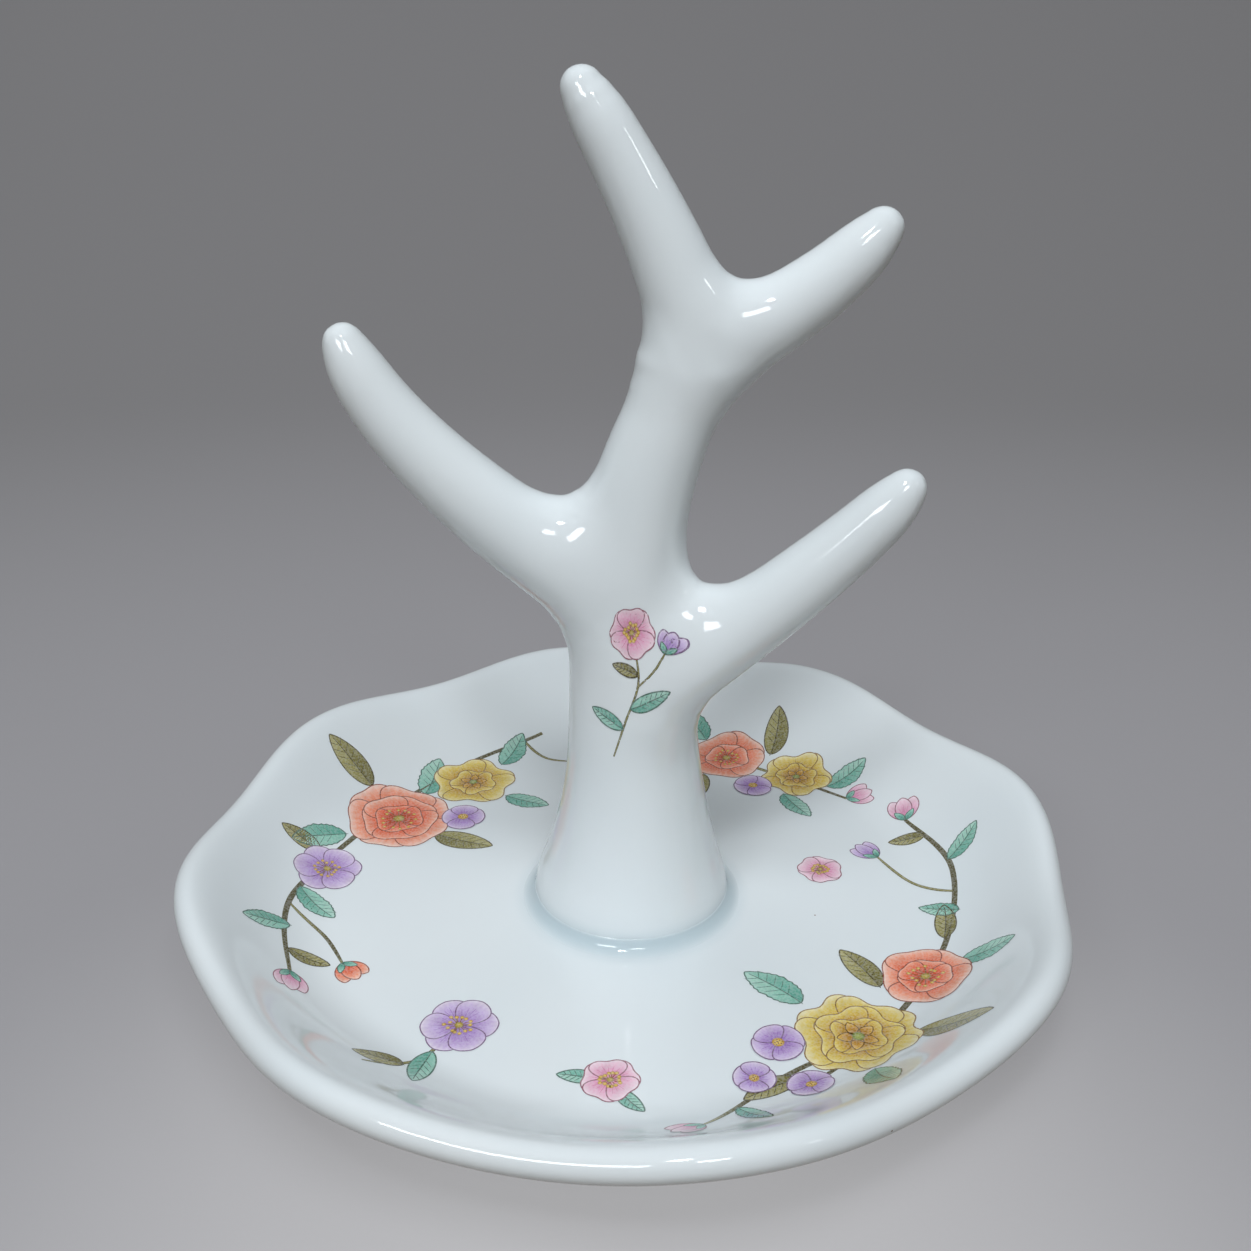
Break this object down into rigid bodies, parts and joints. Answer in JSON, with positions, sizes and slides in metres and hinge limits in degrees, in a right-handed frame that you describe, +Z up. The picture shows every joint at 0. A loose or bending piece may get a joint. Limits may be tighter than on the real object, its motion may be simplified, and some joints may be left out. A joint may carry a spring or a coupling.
{
  "type": "ring tree",
  "caption": "Porcelain ring tree: a branching tree for rings and small jewellery standing in a scalloped saucer that catches what is dropped.",
  "frame": {"origin": "centre of the saucer's foot ring, on the surface it stands on", "axes": "+Z up; the tree lies in the XZ plane with its two right-hand limbs towards +X, and the front of the ring tree faces -Y"},
  "size_m": [0.1154, 0.1154, 0.1106],
  "materials": {
    "dish_porcelain": "clear gloss glaze over white porcelain with printed flowers; bare biscuit under the foot ring",
    "tree_porcelain": "clear gloss glaze over white porcelain with one printed sprig",
    "slip": "clear gloss glaze, pooled and faintly blue in the corner"
  },
  "bodies": {
    "root": {"dish": "dish_porcelain", "slip_joint": "slip", "tree": "tree_porcelain"}
  },
  "joints": []
}
